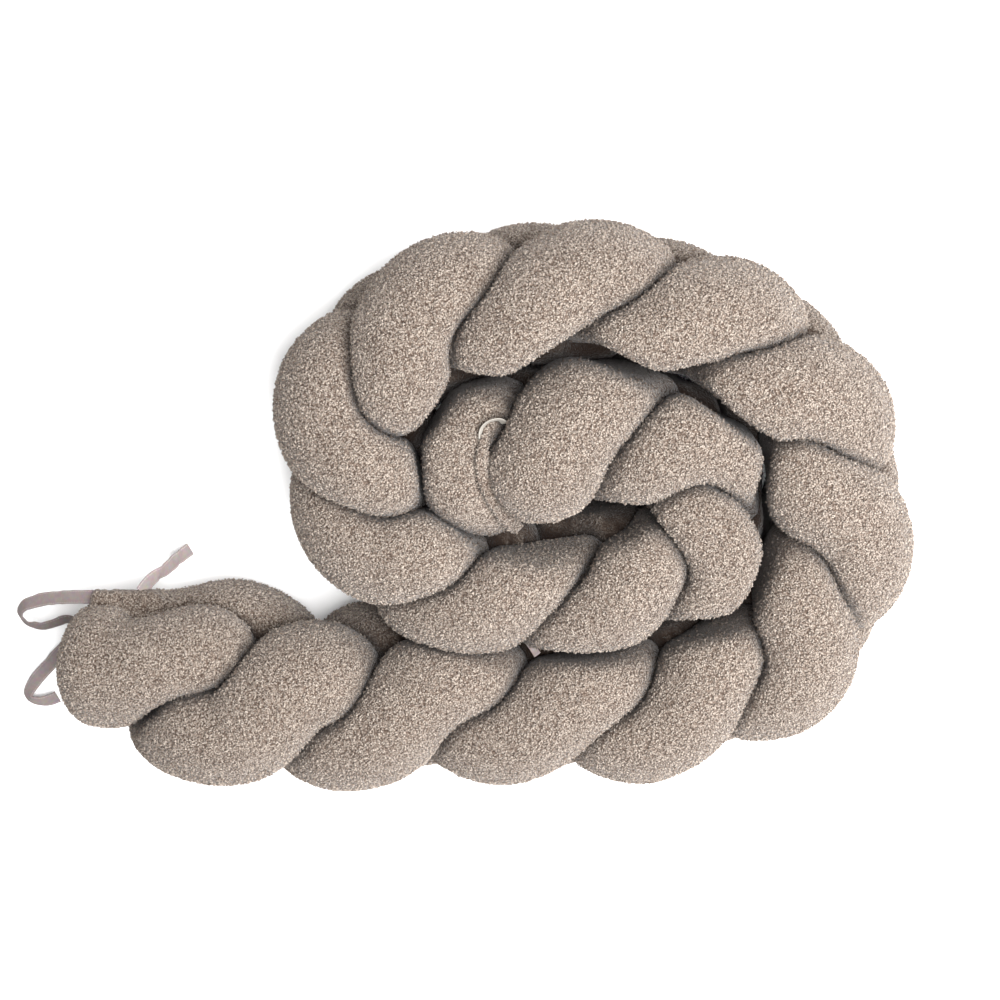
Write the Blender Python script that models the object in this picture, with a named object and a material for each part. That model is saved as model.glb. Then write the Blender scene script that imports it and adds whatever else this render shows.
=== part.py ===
"""Braided crib bumper: three stuffed tubes of curly cloth, plaited and wound up on their edge.

The braid's axis runs through a table of rows, one for each lobe that shows on its upper edge.
Each tube follows a figure of eight around that axis, and its section swells until it meets the
floor or the plane halfway to a neighbouring tube, as stuffed cloth does when it is pressed.
Units are metres, +Z is up, and the floor is z = 0.
"""

import math
from collections import namedtuple

import bpy
import numpy as np
from mathutils import Matrix, Vector
from mathutils.bvhtree import BVHTree

# Driving dimensions
TUBE_DIAMETER = 0.077  # one stuffed tube, free
BRAID_HALF_HEIGHT = 0.036  # from the axis to a tube's middle at the braid's upper or lower edge
BRAID_HALF_WIDTH = 0.025  # the same, sideways
SEAT = 0.030  # height of a tube's middle where it rests on the floor
GAP = 0.0005  # between two tubes that press on each other
ACROSS = 2.2  # lobes along the braid, past which a neighbour lies across the spiral's hollow
NEXT_TURN = 5.2  # lobes along the braid, past which it belongs to the next turn
APART_LOW, APART_HIGH = 0.045, 0.090  # heights of a tube's middle between which turns part
SWELL_LIMIT = 1.35  # the most that a pressed tube bulges, as a share of its free radius
ROUNDING = 7.0  # how sharply a pressed flat turns into the free round of a tube
END_LENGTH = 0.030  # of a tube's rounded end
RING_PITCH = 0.0195  # along a tube
RING_SIDES = 20
FINE = 4  # samples of a tube's middle line for each ring, where neighbours are measured
PRESS_STEP = 0.0005  # by which touching faces of two tubes are pushed in at a time
PRESS_ROUNDS = 90

SEAM_HEIGHT = 0.070  # of the flat end seam above the floor
SEAM_THICKNESS = 0.007
SEAM_EDGE = -0.0845  # y of the seam's outer edge
SEAM_LEFT, SEAM_RIGHT = -0.368, -0.309
SEAM_STATIONS = 13
SEAT_GAP = 0.0004  # between a sewn-on piece and the cloth that it is sewn to

TIE_WIDTH = 0.0105
TIE_THICKNESS = 0.0016
INNER_TIE_WIDTH = 0.007
LOOP_WIDTH = 0.009
LOOP_THICKNESS = 0.0011
STRIP_PITCH = 0.005
MM = 0.001
UP = np.array([0.0, 0.0, 1.0])

# The braid's axis, a row for each lobe along its upper edge, from the tail to the inner end
# x, y: the lobe's middle, mm; inner, outer: share of the full sideways swing to each side;
# girth: share of the full tube that makes the lobe; lean: turn of the upper edge towards
# the inner side, degrees; apart: distance kept from halfway to the next turn of the spiral, mm;
# hollow: the same towards the hollow in the spiral's middle
Lobe = namedtuple("Lobe", "x y inner outer girth lean apart hollow")
LOBES = (
    Lobe(-304, -143, 1.3, 1.0, 0.95, 0, 0, 0),
    Lobe(-218, -194, 1.35, 0.9, 1.12, 0, 0, 0),
    Lobe(-90, -189, 1.35, 0.85, 1.0, 0, 0, 0),
    Lobe(42, -186, 1.0, 0.95, 1.0, 0, 2, 0),
    Lobe(168, -173, 1.0, 1.0, 1.0, 0, 8, 0),
    Lobe(266, -111, 1.0, 0.9, 1.0, 0, 3, 0),
    Lobe(288, 4, 1.0, 0.7, 1.0, -4, 1, 0),
    Lobe(238, 102, 1.0, 0.9, 1.0, -8, 3, 0),
    Lobe(150, 154, 1.0, 0.8, 1.0, -11, 19, 0),
    Lobe(38, 172, 1.0, 0.8, 1.0, -12, 19, 0),
    Lobe(-74, 139, 1.0, 0.85, 1.0, -12, 11, 0),
    Lobe(-125, 60, 1.0, 0.7, 1.0, -12, 4, 0),
    Lobe(-88, -31, 1.0, 0.65, 1.0, -8, 0, 0),
    Lobe(-6, -71, 0.6, 0.9, 1.0, -3, 2, 20),
    Lobe(108, -62, 0.65, 1.0, 1.0, 0, 9, 26),
    Lobe(184, -22, 0.9, 1.0, 1.0, 0, 13, 0),
    Lobe(150, 64, 1.0, 1.0, 1.0, 0, 1, 9),
    Lobe(45, 57, 1.0, 1.0, 1.12, 0, -7, 9),
    Lobe(-40, 50, 1.0, 1.0, 0.88, 0, 4, 0),
)

# How far along the lobes each tube keeps to the plait, and where its two ends run from there:
# x, y, z: the tube's middle, mm; girth: share of the full tube
Span = namedtuple("Span", "first last")
SPANS = (Span(0.95, 19.0), Span(1.6, 18.4), Span(2.35, 18.2))
End = namedtuple("End", "tube x y z girth")
TAIL_ENDS = (
    End(0, -328, -148, 91, 1.30),
    End(0, -354, -151, 80, 1.45),
    End(0, -389, -151, 70, 1.37),
    End(1, -312, -186, 34, 0.90),
    End(1, -338, -166, 30, 0.75),
    End(1, -364, -156, 27, 0.60),
    End(2, -212, -144, 46, 1.00),
    End(2, -234, -129, 46, 1.00),
    End(2, -264, -124, 45, 0.97),
    End(2, -304, -127, 43, 0.82),
)
INNER_ENDS = (
    End(0, -36, 30, 96, 0.90),
    End(0, -11, 5, 94, 0.74),
    End(0, 13, -14, 91, 0.48),
    End(1, -20, 70, 36, 0.90),
    End(2, -10, 60, 50, 0.90),
)

# The routes of the flat ties and of the tape loop: x, y, z: the strip's middle, mm;
# roll: turn of its width from level, degrees
Route = namedtuple("Route", "x y z roll")
UPPER_TIE = (
    Route(-320, -80.2, 71, 25),
    Route(-314, -76, 60, 22),
    Route(-306, -73.5, 45, 18),
    Route(-299, -71, 27, 14),
    Route(-294, -69, 12, 8),
    Route(-288, -65, 3, 3),
)
LOWER_TIE = (
    Route(-368.6, -91, 69, 35),
    Route(-388, -93, 62, 38),
    Route(-408, -97, 54, 38),
    Route(-424, -102, 47, 42),
    Route(-438, -110, 39, 50),
    Route(-444, -121, 30, 50),
    Route(-439, -133, 22, 42),
    Route(-424, -137, 15, 38),
    Route(-405, -134, 9, 35),
    Route(-398, -145, 6, 25),
    Route(-412, -161, 4, 15),
    Route(-433, -183, 4, 15),
    Route(-449, -203, 5, 35),
    Route(-452, -213, 6.5, 60),
    Route(-441, -218, 5.5, 40),
    Route(-426, -214, 4, 15),
)
INNER_TIE = (
    Route(20, -112, 103.3, 0),
    Route(24, -118, 103.3, 0),
    Route(28, -124, 104, 0),
    Route(31, -128.5, 105.5, 0),
    Route(33, -131, 107.5, 0),
)
INNER_LOOP = (
    Route(-18, 75, 139, 60),
    Route(-15, 82, 137, 62),
    Route(-10, 86, 135, 65),
    Route(-4, 87, 133.5, 60),
    Route(1, 85.5, 130.5, 45),
    Route(4, 82, 127.5, 30),
)

Finish = namedtuple("Finish", "name colour roughness")
BOUCLE = Finish("boucle", (0.36, 0.29, 0.235), 0.95)
COTTON = Finish("cotton", (0.42, 0.33, 0.32), 0.85)
TAPE = Finish("cream_tape", (0.75, 0.71, 0.62), 0.8)


def clear_scene():
    for obj in list(bpy.data.objects):
        bpy.data.objects.remove(obj, do_unlink=True)


def material(finish):
    """The Principled material of a finish, made once."""
    found = bpy.data.materials.get(finish.name)
    if found:
        return found
    made = bpy.data.materials.new(finish.name)
    made.use_nodes = True
    shader = made.node_tree.nodes["Principled BSDF"]
    shader.inputs["Base Color"].default_value = (*finish.colour, 1)
    shader.inputs["Roughness"].default_value = finish.roughness
    shader.inputs["Metallic"].default_value = 0
    return made


def unit(vectors):
    return vectors / np.linalg.norm(vectors, axis=-1, keepdims=True)


def spline(knots, values, at):
    """A natural cubic spline through values at knots, read at the places in at."""
    knots, values, at = (np.asarray(part, float) for part in (knots, values, at))
    step = np.diff(knots)
    count = len(knots)
    system = np.eye(count)
    right = np.zeros_like(values)
    slope = np.diff(values, axis=0) / step[:, None]
    for i in range(1, count - 1):
        system[i, i - 1 : i + 2] = step[i - 1], 2 * (step[i - 1] + step[i]), step[i]
        right[i] = 6 * (slope[i] - slope[i - 1])
    bend = np.linalg.solve(system, right)
    i = np.clip(np.searchsorted(knots, at, side="right") - 1, 0, count - 2)
    h = step[i][:, None]
    before = (knots[i + 1] - at)[:, None]
    after = (at - knots[i])[:, None]
    curved = (bend[i] * before**3 + bend[i + 1] * after**3) / (6 * h)
    first = (values[i] / h - bend[i] * h / 6) * before
    second = (values[i + 1] / h - bend[i + 1] * h / 6) * after
    return curved + first + second


def lengths(rows):
    """The length along a line of rows x, y, z, ... at each of its rows."""
    return np.append(0, np.cumsum(np.linalg.norm(np.diff(rows[:, :3], axis=0), axis=1)))


def read(rows, places):
    """The rows of a line at the lengths in places."""
    length = lengths(rows)
    return np.column_stack([np.interp(places, length, column) for column in rows.T])


def even(rows, pitch):
    """The smooth curve through rows x, y, z, ..., read about every pitch."""
    chord = lengths(rows)
    dense = spline(chord, rows, np.linspace(0, chord[-1], 40 * len(rows)))
    length = lengths(dense)[-1]
    return read(dense, np.linspace(0, length, int(round(length / pitch)) + 1))


def in_metres(rows):
    """Table rows x, y, z in mm and more columns, as an array in metres."""
    values = np.array(rows, float)
    values[:, :3] *= MM
    return values


def plait(tube, u):
    """One tube's middle line at the lobe numbers in u, as rows x, y, z, girth, u, apart, hollow.

    Across the braid it runs a figure of eight, up and down once and sideways twice."""
    numbers = np.arange(1, len(LOBES) + 1)
    rows = np.array(LOBES, float)
    x, y, inner, outer, girth, lean, apart, hollow = spline(numbers, rows, u).T
    girth = np.interp(u, numbers[tube::3], rows[tube::3, LOBES[0]._fields.index("girth")])
    ahead = spline(numbers, rows, u + 0.01) - spline(numbers, rows, u - 0.01)
    tangent = unit(np.column_stack([ahead[:, 0], ahead[:, 1], np.zeros(len(u))]))
    inward = np.cross(UP, tangent)
    lean = np.radians(lean)[:, None]
    edge = np.cos(lean) * UP + np.sin(lean) * inward
    side = np.cos(lean) * inward - np.sin(lean) * UP
    phase = 2 * math.pi / 3 * (u - 1 - tube)
    along_edge = BRAID_HALF_HEIGHT * girth * np.cos(phase)
    swing = np.sin(2 * phase)
    along_side = BRAID_HALF_WIDTH * swing * np.where(swing > 0, inner, outer)
    middle = np.column_stack([x * MM, y * MM, SEAT + BRAID_HALF_HEIGHT * girth])
    points = middle + along_edge[:, None] * edge + along_side[:, None] * side
    return np.column_stack([points, girth, u, apart * MM, hollow * MM])


def middle_line(tube, pitch):
    """A tube's middle line from end to end, as rows of x, y, z, girth, u, apart, hollow."""
    woven = plait(tube, np.arange(SPANS[tube].first, SPANS[tube].last + 0.01, 0.25))
    tail = in_metres([(*end[1:], 0, 0, 0) for end in TAIL_ENDS if end.tube == tube])
    last = len(LOBES) + 1
    inner = in_metres([(*end[1:], last, 0, 0) for end in INNER_ENDS if end.tube == tube])
    return even(np.concatenate([tail[::-1], woven, inner]), pitch)


def rounded_ends(line):
    """Rows at the rings' places and their shares of the full section, with round ends."""
    length = lengths(line)[-1]
    turns = np.radians([18, 38, 60, 90])
    cap = END_LENGTH * (1 - np.cos(turns))
    count = int((length - 2 * END_LENGTH) / RING_PITCH)
    body = np.linspace(END_LENGTH, length - END_LENGTH, count)
    places = np.concatenate([cap[:-1], body, length - cap[-2::-1]])
    shares = np.concatenate([np.sin(turns[:-1]), np.ones(count), np.sin(turns[-2::-1])])
    return read(line, places), shares


def ring_ways(centres):
    """The directions across a tube in which each ring's points lie."""
    tangent = unit(np.gradient(centres, axis=0))
    high = unit(UP - (tangent @ UP)[:, None] * tangent)
    across = np.cross(tangent, high)
    turns = 2 * math.pi * np.arange(RING_SIDES) / RING_SIDES
    return np.cos(turns)[:, None] * high[:, None] + np.sin(turns)[:, None] * across[:, None]


def reach(centre, radius, ways, others, other_radii, gaps):
    """How far a ring may reach each way before it comes within a gap of halfway to a neighbour."""
    across = others - centre
    distance = np.linalg.norm(across, axis=1)
    near = distance < 4 * radius
    across, distance = across[near], distance[near]
    halfway = (distance**2 + radius**2 - other_radii[near] ** 2) / (2 * distance) - gaps[near]
    facing = ways @ (across / distance[:, None]).T
    limits = np.where(facing > 1e-3, halfway / np.maximum(facing, 1e-3), np.inf)
    return np.maximum(limits.min(axis=1, initial=4 * radius), 0.002)


def section(free, limits, floor_limits):
    """Radii of a ring: the free round, flattened against neighbours and the floor."""
    pressed = (free**-ROUNDING + limits**-ROUNDING) ** (-1 / ROUNDING)
    return np.minimum(pressed, floor_limits)


def swollen(radius, limits, floor_limits):
    """The free radius at which a pressed section keeps the area of the stuffed tube."""
    free = radius
    for _ in range(8):
        area = (section(free, limits, floor_limits) ** 2).mean()
        free = min(free * radius / math.sqrt(area), SWELL_LIMIT * radius)
    return free


def tube_form(tube, lines):
    """Ring centres, ways and radii of one tube among the middle lines of all."""
    radius = TUBE_DIAMETER / 2
    rows, shares = rounded_ends(lines[tube])
    centres, girths = rows[:, :3], rows[:, 3]
    ways = ring_ways(centres)
    everything = np.concatenate(lines)
    others, other_radii = everything[:, :3], everything[:, 3] * radius
    same = np.concatenate([np.full(len(line), number == tube) for number, line in enumerate(lines)])
    limits, floors, frees = [], [], []
    for centre, girth, way, (u, apart, hollow) in zip(centres, girths, ways, rows[:, 4:]):
        away = ~same | (np.linalg.norm(others - centre, axis=1) > 0.4 * radius)
        weights = np.where(same, girth * radius, other_radii)
        along = np.abs(everything[:, 4] - u)
        kept = np.where(along > NEXT_TURN, apart, np.where(along > ACROSS, hollow, 0))
        gaps = GAP / 2 + kept * np.clip((centre[2] - APART_LOW) / (APART_HIGH - APART_LOW), 0, 1)
        limits.append(reach(centre, girth * radius, way, others[away], weights[away], gaps[away]))
        floors.append(np.where(way[:, 2] < 0, centre[2] / np.maximum(-way[:, 2], 1e-6), np.inf))
        frees.append(swollen(girth * radius, limits[-1], floors[-1]))
    smooth = np.convolve(np.pad(frees, 2, mode="edge"), [0.1, 0.2, 0.4, 0.2, 0.1], mode="valid")
    radii = [section(*ring) for ring in zip(smooth * shares, limits, floors)]
    return centres, ways, np.array(radii), lines[tube][[0, -1], :3]


def loft_faces(count, sides):
    """Triangles over rings of points; the first and last points are the tips that close it."""
    faces = []
    end = 1 + count * sides
    for side in range(sides):
        after = (side + 1) % sides
        faces.append((0, 1 + after, 1 + side))
        for low in range(1, end - sides, sides):
            high = low + sides
            faces.append((low + side, low + after, high + after))
            faces.append((low + side, high + after, high + side))
        faces.append((end - sides + side, end - sides + after, end))
    return faces


def tube_points(form, more=0.0):
    """Points of a tube's skin, its radii larger by more."""
    centres, ways, radii, tips = form
    rings = centres[:, None] + (radii + more)[:, :, None] * ways
    return np.concatenate([tips[:1], rings.reshape(-1, 3), tips[1:]])


def press_apart(forms):
    """Pushes touching faces in, until no two tubes come nearer than the gap."""
    faces = [loft_faces(*form[2].shape) for form in forms]
    for _ in range(PRESS_ROUNDS):
        trees = [
            BVHTree.FromPolygons(tube_points(form, GAP / 2).tolist(), skin)
            for form, skin in zip(forms, faces)
        ]
        touching = [set() for _ in forms]
        for a in range(len(forms)):
            for b in range(a + 1, len(forms)):
                for face_a, face_b in trees[a].overlap(trees[b]):
                    touching[a].update(faces[a][face_a])
                    touching[b].update(faces[b][face_b])
        if not any(touching):
            return
        for form, points in zip(forms, touching):
            radii = form[2]
            for point in points:
                if 0 < point <= radii.size:
                    radii.flat[point - 1] -= PRESS_STEP


def add_mesh(name, points, faces, finish, smooth=True):
    mesh = bpy.data.meshes.new(name)
    mesh.from_pydata([tuple(point) for point in points], [], faces)
    if smooth:
        mesh.shade_smooth()
    mesh.materials.append(material(finish))
    obj = bpy.data.objects.new(name, mesh)
    bpy.context.scene.collection.objects.link(obj)
    return obj


def build_strands():
    """The three tubes, and a tree of their skins for what is sewn to them."""
    lines = [middle_line(tube, RING_PITCH / FINE) for tube in range(3)]
    forms = [tube_form(tube, lines) for tube in range(3)]
    press_apart(forms)
    skin_points, skin_faces = [], []
    for number, form in enumerate(forms, start=1):
        points, faces = tube_points(form), loft_faces(*form[2].shape)
        add_mesh(f"strand_{number}", points, faces, BOUCLE)
        skin_faces += [tuple(len(skin_points) + i for i in face) for face in faces]
        skin_points += points.tolist()
    return BVHTree.FromPolygons(skin_points, skin_faces)


def seam_seat(skin, x, z):
    """How far out the tubes' skin comes around a place in the end seam."""
    sides = np.linspace(-0.5, 0.5, 9) * (SEAM_RIGHT - SEAM_LEFT) / (SEAM_STATIONS - 1) * 2
    rays = [Vector((x + side, 0.1, z + level)) for side in sides for level in (-0.001, 0, 0.001)]
    hits = [skin.ray_cast(ray, Vector((0, -1, 0)))[0].y for ray in rays]
    return max(hits) + SEAT_GAP


def build_tail_seam(skin):
    """The flat puckered band in which the three tube ends are sewn shut."""
    half = SEAM_THICKNESS / 2
    points = []
    for i, x in enumerate(np.linspace(SEAM_LEFT, SEAM_RIGHT, SEAM_STATIONS)):
        middle = SEAM_HEIGHT + 0.0015 * math.sin(2.2 * i)
        slim = half * (0.6 if i in (0, SEAM_STATIONS - 1) else 1)
        levels = (middle - slim, middle, middle + slim)
        seats = [seam_seat(skin, x, z) for z in levels]
        outer = SEAM_EDGE + 0.0012 * math.sin(1.7 * i)
        points += [(x, seat, z) for seat, z in zip(seats, levels)]
        points += [(x, outer - slim, levels[2]), (x, outer, middle), (x, outer - slim, levels[0])]
    return add_mesh("tail_seam", points, capped_faces(SEAM_STATIONS, 6), BOUCLE, smooth=False)


def capped_faces(count, sides):
    """Faces over rings of points, with a flat face at both ends."""
    faces = [tuple(range(sides)), tuple(range(count * sides - 1, (count - 1) * sides - 1, -1))]
    for low in range(0, (count - 1) * sides, sides):
        for side in range(sides):
            after = (side + 1) % sides
            faces.append((low + after, low + side, low + sides + side, low + sides + after))
    return faces


def build_strip(name, route, width, thickness, finish):
    """A flat strip of cloth along a route, its width level where the roll is 0."""
    rows = even(in_metres(route), STRIP_PITCH)
    tangent = unit(np.gradient(rows[:, :3], axis=0))
    level = unit(np.cross(UP, tangent))
    roll = np.radians(rows[:, 3])[:, None]
    wide = np.cos(roll) * level + np.sin(roll) * np.cross(tangent, level)
    thin = np.cross(tangent, wide)
    w, t = width / 2, thickness / 2
    outline = ((-w, 0), (t - w, t), (w - t, t), (w, 0), (w - t, -t), (t - w, -t))
    rings = [rows[:, :3] + across * wide + through * thin for across, through in outline]
    points = np.stack(rings, axis=1).reshape(-1, 3)
    return add_mesh(name, points, capped_faces(len(rows), len(outline)), finish, smooth=False)


def centre_plan():
    """Moves everything so that the middle of the box around it stands over the origin."""
    meshes = [obj.data for obj in bpy.data.objects]
    points = np.array([point.co for mesh in meshes for point in mesh.vertices])
    x, y, _ = (points.min(axis=0) + points.max(axis=0)) / 2
    for mesh in meshes:
        mesh.transform(Matrix.Translation((-x, -y, 0)))
    return x, y


clear_scene()
skin = build_strands()
build_tail_seam(skin)
build_strip("tail_tie_upper", UPPER_TIE, TIE_WIDTH, TIE_THICKNESS, COTTON)
build_strip("tail_tie_lower", LOWER_TIE, TIE_WIDTH, TIE_THICKNESS, COTTON)
build_strip("inner_tie", INNER_TIE, INNER_TIE_WIDTH, TIE_THICKNESS, COTTON)
build_strip("inner_loop", INNER_LOOP, LOOP_WIDTH, LOOP_THICKNESS, TAPE)
middle = centre_plan()
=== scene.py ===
"""A braided crib bumper, wound up on a pale floor: three stuffed bouclé tubes with sewn ends and ties.

The plaited tubes repeat the routes of the part's solids at a finer pitch, and take on the lumps of
their stuffing and the curls of their cloth here. Metres, +Z up, floor at z = 0.
"""

import math
from collections import namedtuple

import bpy
import numpy as np
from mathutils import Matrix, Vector, noise
from mathutils.bvhtree import BVHTree


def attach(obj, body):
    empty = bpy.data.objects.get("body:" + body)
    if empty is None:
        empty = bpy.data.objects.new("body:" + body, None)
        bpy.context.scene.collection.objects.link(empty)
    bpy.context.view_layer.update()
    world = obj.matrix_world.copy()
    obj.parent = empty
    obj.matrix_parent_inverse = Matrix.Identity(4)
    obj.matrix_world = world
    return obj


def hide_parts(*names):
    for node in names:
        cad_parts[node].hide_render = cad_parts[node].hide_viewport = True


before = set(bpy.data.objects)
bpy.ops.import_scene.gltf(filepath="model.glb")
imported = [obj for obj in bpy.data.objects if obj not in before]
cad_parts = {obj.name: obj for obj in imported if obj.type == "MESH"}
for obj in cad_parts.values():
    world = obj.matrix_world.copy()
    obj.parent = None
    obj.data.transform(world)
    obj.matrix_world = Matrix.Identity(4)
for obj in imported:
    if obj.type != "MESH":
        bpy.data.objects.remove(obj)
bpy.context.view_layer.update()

# ---- Camera -------------------------------------------------------------------------------
# A camera hangs over the bumper, a little beyond its upper side, and looks down 15.5 degrees off
# the plumb line, so that the sides that face it show a little.
CAMERA_PLACE = (0.04817, 0.37250, 1.37090)
CAMERA_TILT = -15.5  # degrees
LENS = 55.224  # mm
SENSOR_WIDTH = 36  # mm

camera = bpy.data.objects.new("camera", bpy.data.cameras.new("camera"))
camera.location = CAMERA_PLACE
camera.rotation_euler = (math.radians(CAMERA_TILT), 0, 0)
camera.data.lens = LENS
camera.data.sensor_width = SENSOR_WIDTH
bpy.context.scene.collection.objects.link(camera)
bpy.context.scene.camera = camera
bpy.context.scene.view_settings.view_transform = "Standard"

# ---- Floor and light ----------------------------------------------------------------------
# The bumper lies on a sheet of matt white paper. A broad soft light hangs high at its right, a
# weaker one lower down at the right, and the white room around it fills the shadows.
FLOOR_SIZE = 12.0
PAPER_WHITE = "#fbfbfb"
PAPER_TOOTH = 0.001
ROOM_WHITE = "#ffffff"
ROOM_STRENGTH = 0.54
# x, y, z: place; size: side of the square light, m; power: W; aimed at the middle of the bumper
Light = namedtuple("Light", "name x y z size power colour")
LIGHTS = (
    Light("soft_top", 0.65, 0.12, 1.6, 1.6, 122, "#ffffff"),
    Light("soft_right", 1.4, -0.7, 1.1, 1.2, 30, "#f4f8ff"),
)


def linear(hex_colour):
    """Linear red, green, blue and alpha of an sRGB hex colour."""
    parts = [int(hex_colour[i : i + 2], 16) / 255 for i in (1, 3, 5)]
    return (*[c / 12.92 if c <= 0.04045 else ((c + 0.055) / 1.055) ** 2.4 for c in parts], 1.0)


def add(tree, kind, settings=None, links=None):
    """A node with its settings and its inputs: a socket is linked, another value is set."""
    made = tree.nodes.new(kind)
    for name, value in (settings or {}).items():
        setattr(made, name, value)
    for name, value in (links or {}).items():
        if isinstance(value, bpy.types.NodeSocket):
            tree.links.new(value, made.inputs[name])
        else:
            made.inputs[name].default_value = value
    return made


def shaded(name, roughness, specular, sheen=0.0):
    """A new material, its node tree and its shader, set for how the light glances off it."""
    made = bpy.data.materials.new(name)
    made.use_nodes = True
    surface = made.node_tree.nodes["Principled BSDF"]
    surface.inputs["Roughness"].default_value = roughness
    surface.inputs["Specular IOR Level"].default_value = specular
    surface.inputs["Sheen Weight"].default_value = sheen
    return made, made.node_tree, surface


# Matt paper: no gloss, a barely visible tooth of 1 mm
paper, tree, shader = shaded("white_paper", roughness=0.95, specular=0.1)
place = add(tree, "ShaderNodeTexCoord").outputs["Object"]
tooth = add(tree, "ShaderNodeTexNoise", None, {"Vector": place, "Scale": 1 / PAPER_TOOTH, "Detail": 2})
grain = add(tree, "ShaderNodeBump", None,
            {"Height": tooth.outputs[0], "Strength": 0.05, "Distance": 0.0002})
tree.links.new(grain.outputs[0], shader.inputs["Normal"])
shader.inputs["Base Color"].default_value = linear(PAPER_WHITE)

side = FLOOR_SIZE / 2
corners = [(-side, -side, 0), (side, -side, 0), (side, side, 0), (-side, side, 0)]
sheet_mesh = bpy.data.meshes.new("floor")
sheet_mesh.from_pydata(corners, [], [(0, 1, 2, 3)])
sheet_mesh.materials.append(paper)
floor = bpy.data.objects.new("floor", sheet_mesh)
bpy.context.scene.collection.objects.link(floor)

room = bpy.data.worlds.new("room")
room.use_nodes = True
room.node_tree.nodes["Background"].inputs["Color"].default_value = linear(ROOM_WHITE)
room.node_tree.nodes["Background"].inputs["Strength"].default_value = ROOM_STRENGTH
bpy.context.scene.world = room

for light in LIGHTS:
    lamp = bpy.data.objects.new(light.name, bpy.data.lights.new(light.name, "AREA"))
    lamp.data.energy = light.power
    lamp.data.size = light.size
    lamp.data.color = linear(light.colour)[:3]
    lamp.location = (light.x, light.y, light.z)
    lamp.rotation_euler = (Vector((0, 0, 0)) - lamp.location).to_track_quat("-Z", "Y").to_euler()
    bpy.context.scene.collection.objects.link(lamp)

# ---- The three plaited tubes ----------------------------------------------------------------
# Each is a long tube of curly bouclé cloth, sewn along its length and stuffed with fibre. The
# three are plaited, and the braid stands on its edge, wound in a spiral of about two turns.
TUBE_DIAMETER = 0.077  # one stuffed tube, free
BRAID_HALF_HEIGHT = 0.036  # from the axis to a tube's middle at the braid's upper or lower edge
BRAID_HALF_WIDTH = 0.025  # the same, sideways
SEAT = 0.030  # height of a tube's middle where it rests on the floor
GAP = 0.0008  # between two tubes that press on each other
ACROSS = 2.2  # lobes along the braid, past which a neighbour lies across the spiral's hollow
NEXT_TURN = 5.2  # lobes along the braid, past which it belongs to the next turn
APART_LOW, APART_HIGH = 0.020, 0.090  # heights of a tube's middle between which turns part
SWELL_LIMIT = 1.35  # the most that a pressed tube bulges, as a share of its free radius
ROUNDING = 12.0  # how sharply a pressed flat turns into the free round of a tube
END_LENGTH = 0.030  # of a tube's rounded end
END_TURNS = (6, 14, 24, 35, 48, 62, 76, 90)  # degrees from its tip at which its rings lie
RING_PITCH = 0.0052
RING_SIDES = 48
THINNEST = 0.002  # the least that a pressed ring reaches from its middle
FINE = 2  # samples of a tube's middle line for each ring, where neighbours are measured
PLAIT_STEP = 0.25  # lobes between the places where a tube's middle line is taken from the plait
NUDGE = 0.01  # lobes, a very small step along the braid
DENSE = 40  # samples of a smooth curve for each of the rows that it runs through
FAR = 4  # tube radii, past which a neighbour is left out
OWN = 0.4  # tube radii, within which a tube's own middle line is no neighbour
SWELL_ROUNDS = 8  # in which a pressed section finds back to its area
SWELL_SPAN = 9  # rings to each side over which the swelling is evened out
LUMP_SIZE = 0.040  # length of the lumps of the stuffing
LUMP_DEPTH = 0.0011
LUMP_LAYERS = (0.8, 2.0, 2)  # of their noise: how it falls off, ratio of sizes, how many
TINY = 1e-6  # the least that a height is divided by
FACING = 1e-3  # the least share of a way that counts as pointing at a neighbour
MM = 0.001
UP = np.array([0.0, 0.0, 1.0])
MIDDLE = np.array([-0.048174262, -0.011726782, 0])  # of the solids' box, set over the origin

# The braid's axis, a row for each lobe along its upper edge, from the tail to the inner end
# x, y: the lobe's middle, mm; inner, outer: share of the full sideways swing to each side;
# girth: share of the full tube that makes the lobe; lean: turn of the upper edge towards
# the inner side, degrees; apart: distance kept from halfway to the next turn of the spiral, mm;
# hollow: the same towards the hollow in the spiral's middle
Lobe = namedtuple("Lobe", "x y inner outer girth lean apart hollow")
LOBES = (
    Lobe(-304, -143, 1.3, 1.0, 0.95, 0, 0, 0),
    Lobe(-219, -190, 1.35, 0.9, 1.12, 0, 0, 0),
    Lobe(-88, -187, 1.35, 0.85, 1.0, 0, 0, 0),
    Lobe(42, -186, 1.0, 0.95, 1.0, 0, 2, 0),
    Lobe(168, -173, 1.0, 1.0, 1.0, 0, 8, 0),
    Lobe(266, -111, 1.0, 0.9, 1.0, 0, 3, 0),
    Lobe(288, 4, 1.0, 0.7, 1.0, -4, 1, 0),
    Lobe(238, 102, 1.0, 0.9, 1.0, -8, 3, 0),
    Lobe(150, 154, 1.0, 0.8, 1.0, -11, 19, 0),
    Lobe(38, 172, 1.0, 0.8, 1.0, -12, 19, 0),
    Lobe(-74, 139, 1.0, 0.85, 1.0, -12, 11, 0),
    Lobe(-125, 60, 1.0, 0.7, 1.0, -12, 4, 0),
    Lobe(-88, -31, 1.0, 0.65, 1.0, -8, 0, 0),
    Lobe(-6, -71, 0.6, 0.9, 1.0, -3, 2, 20),
    Lobe(108, -62, 0.65, 1.0, 1.0, 0, 9, 26),
    Lobe(184, -22, 0.9, 1.0, 1.0, 0, 13, 0),
    Lobe(150, 64, 1.0, 1.0, 1.0, 0, 1, 9),
    Lobe(45, 57, 1.0, 1.0, 1.12, 0, -7, 9),
    Lobe(-40, 50, 1.0, 1.0, 0.88, 0, 4, 0),
)
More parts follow.
